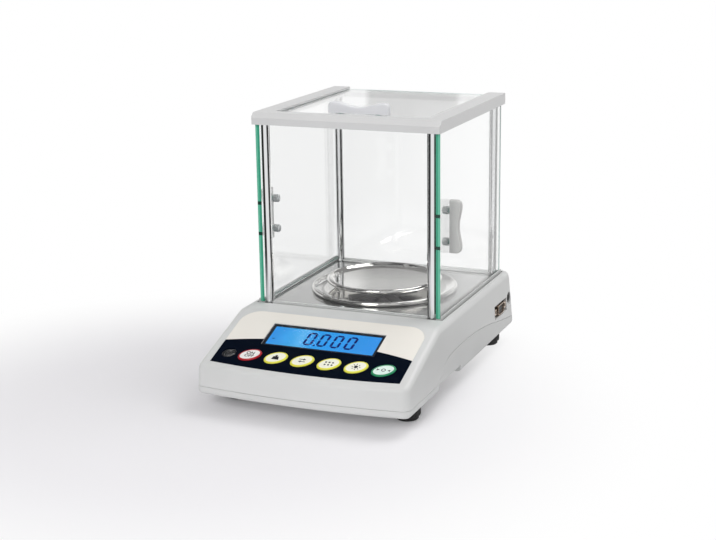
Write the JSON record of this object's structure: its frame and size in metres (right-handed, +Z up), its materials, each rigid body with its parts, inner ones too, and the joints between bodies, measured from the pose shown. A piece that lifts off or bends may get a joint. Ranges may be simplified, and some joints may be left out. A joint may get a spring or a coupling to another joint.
{
  "type": "precision balance",
  "caption": "Bench precision balance: wedge-fronted base with display and keys, round steel pan, and a glass draft shield with two sliding doors and a sliding top pane.",
  "frame": {"origin": "on the table under the middle of the base, where the four feet stand", "axes": "+X to the right of the person at the keys, +Y from the keys to the rear, +Z up"},
  "size_m": [0.1694, 0.2619, 0.2174],
  "materials": {
    "housing_plastic": "fine satin moulding, light grey",
    "frame_plastic": "satin moulding, light grey",
    "track_plastic": "satin moulding, light grey",
    "handle_plastic": "smooth moulding, pale grey",
    "nut_plastic": "smooth round nut",
    "foot_rubber": "matt black",
    "cream_film": "printed film, fine texture",
    "navy_film": "printed film, half gloss",
    "clear_window": "clear",
    "display_blue": "backlit blue panel",
    "circuit_board": "green solder mask",
    "key_red": "white centre with a red ring",
    "key_yellow": "white centre with a yellow ring",
    "key_green": "white centre with a green ring",
    "level_dark": "dark grey",
    "satin_plate": "satin",
    "bright_chrome": "bright plated",
    "polished_steel": "polished stainless",
    "shield_glass": "clear, green at its edges",
    "fastener_steel": "zinc plated",
    "dark_bolt_steel": "blackened",
    "cell_aluminium": "milled and anodised",
    "connector_metal": "tinned shell",
    "jack_black": "black moulding"
  },
  "bodies": {
    "base": {"upper_housing": "housing_plastic", "lower_cover": "housing_plastic", "cover_screw_front_left": "fastener_steel", "cover_screw_front_right": "fastener_steel", "cover_screw_rear_left": "fastener_steel", "cover_screw_rear_right": "fastener_steel", "display_overlay": "cream_film", "keypad_overlay": "navy_film", "display_lens": "clear_window", "lcd_module": "display_blue", "display_board": "circuit_board", "level_vial": "level_dark", "level_lens": "clear_window", "floor_plate": "satin_plate", "plate_stud": "bright_chrome", "post_front_left": "bright_chrome", "post_front_right": "bright_chrome", "post_rear_left": "bright_chrome", "post_rear_right": "bright_chrome", "door_track_left": "track_plastic", "door_track_right": "track_plastic", "front_sill": "track_plastic", "rear_sill": "track_plastic", "front_glass": "shield_glass", "rear_glass": "shield_glass", "top_frame": "frame_plastic", "draft_ring": "polished_steel", "load_cell": "cell_aluminium", "load_cell_bolt_front": "dark_bolt_steel", "load_cell_bolt_rear": "dark_bolt_steel", "main_board": "circuit_board", "connector_bracket": "fastener_steel", "serial_connector": "connector_metal", "power_jack": "jack_black"},
    "foot_front_left": {"foot_front_left": "foot_rubber"},
    "foot_front_right": {"foot_front_right": "foot_rubber"},
    "foot_rear_left": {"foot_rear_left": "foot_rubber"},
    "foot_rear_right": {"foot_rear_right": "foot_rubber"},
    "key_on_off": {"key_on_off": "key_red"},
    "key_cal": {"key_cal": "key_yellow"},
    "key_unit": {"key_unit": "key_yellow"},
    "key_count": {"key_count": "key_yellow"},
    "key_light": {"key_light": "key_yellow"},
    "key_tare": {"key_tare": "key_green"},
    "left_door": {"left_door": "shield_glass", "left_handle": "handle_plastic", "left_handle_screw_a": "nut_plastic", "left_handle_screw_b": "nut_plastic"},
    "right_door": {"right_door": "shield_glass", "right_handle": "handle_plastic", "right_handle_screw_a": "nut_plastic", "right_handle_screw_b": "nut_plastic"},
    "top_pane": {"top_glass": "shield_glass", "top_handle": "handle_plastic", "top_handle_screw_a": "nut_plastic", "top_handle_screw_b": "nut_plastic"},
    "weighing_stage": {"spindle": "fastener_steel", "pan_support": "fastener_steel"},
    "weighing_pan": {"pan": "polished_steel"}
  },
  "joints": [
    {"name": "left_door_slide", "type": "slide", "parent": "base", "child": "left_door", "axis": [0, 1, 0], "range_m": [0, 0.115]},
    {"name": "right_door_slide", "type": "slide", "parent": "base", "child": "right_door", "axis": [0, 1, 0], "range_m": [0, 0.115]},
    {"name": "top_pane_slide", "type": "slide", "parent": "base", "child": "top_pane", "axis": [0, 1, 0], "range_m": [0, 0.11]},
    {"name": "key_on_off_press", "type": "slide", "parent": "base", "child": "key_on_off", "axis": [0, 0.3305, -0.9438], "range_m": [0, 0.0005], "stiffness_N_per_m": 3000, "springref_m": -0.0002},
    {"name": "key_cal_press", "type": "slide", "parent": "base", "child": "key_cal", "axis": [0, 0.3305, -0.9438], "range_m": [0, 0.0005], "stiffness_N_per_m": 3000, "springref_m": -0.0002},
    {"name": "key_unit_press", "type": "slide", "parent": "base", "child": "key_unit", "axis": [0, 0.3305, -0.9438], "range_m": [0, 0.0005], "stiffness_N_per_m": 3000, "springref_m": -0.0002},
    {"name": "key_count_press", "type": "slide", "parent": "base", "child": "key_count", "axis": [0, 0.3305, -0.9438], "range_m": [0, 0.0005], "stiffness_N_per_m": 3000, "springref_m": -0.0002},
    {"name": "key_light_press", "type": "slide", "parent": "base", "child": "key_light", "axis": [0, 0.3305, -0.9438], "range_m": [0, 0.0005], "stiffness_N_per_m": 3000, "springref_m": -0.0002},
    {"name": "key_tare_press", "type": "slide", "parent": "base", "child": "key_tare", "axis": [0, 0.3305, -0.9438], "range_m": [0, 0.0005], "stiffness_N_per_m": 3000, "springref_m": -0.0002},
    {"name": "foot_front_left_turn", "type": "hinge", "parent": "base", "child": "foot_front_left", "pos_m": [-0.069, -0.0874, 0], "axis": [0, 0, 1], "continuous": true},
    {"name": "foot_front_right_turn", "type": "hinge", "parent": "base", "child": "foot_front_right", "pos_m": [0.069, -0.0874, 0], "axis": [0, 0, 1], "continuous": true},
    {"name": "foot_rear_left_turn", "type": "hinge", "parent": "base", "child": "foot_rear_left", "pos_m": [-0.069, 0.1056, 0], "axis": [0, 0, 1], "continuous": true},
    {"name": "foot_rear_right_turn", "type": "hinge", "parent": "base", "child": "foot_rear_right", "pos_m": [0.069, 0.1056, 0], "axis": [0, 0, 1], "continuous": true},
    {"name": "stage_deflection", "type": "slide", "parent": "base", "child": "weighing_stage", "axis": [0, 0, 1], "range_m": [-0.0002, 0], "stiffness_N_per_m": 30000, "springref_m": 0.00005},
    {"name": "pan_lift", "type": "slide", "parent": "weighing_stage", "child": "weighing_pan", "axis": [0, 0, 1], "range_m": [0, 0.04]}
  ]
}
